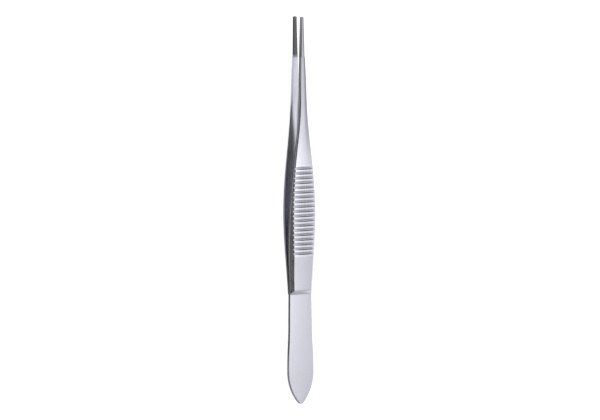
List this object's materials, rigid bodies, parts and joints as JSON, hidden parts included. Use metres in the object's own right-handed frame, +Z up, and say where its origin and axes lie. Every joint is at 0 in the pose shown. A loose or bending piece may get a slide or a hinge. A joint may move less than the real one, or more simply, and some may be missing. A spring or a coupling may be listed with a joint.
{
  "type": "thumb forceps",
  "caption": "Straight steel thumb forceps: two sprung arms welded at a leaf-shaped tail, with cross-grooved grips and slender serrated jaws, lying at rest.",
  "frame": {"origin": "middle of the forceps' box, on the surface that it lies on", "axes": "+Z up, away from the surface; +Y along the arms towards the tips; +X across the arms"},
  "size_m": [0.0082, 0.102, 0.0069],
  "materials": {
    "satin_steel": "satin, finely ground"
  },
  "bodies": {
    "root": {"upper_arm": "satin_steel", "lower_arm": "satin_steel"}
  },
  "joints": []
}
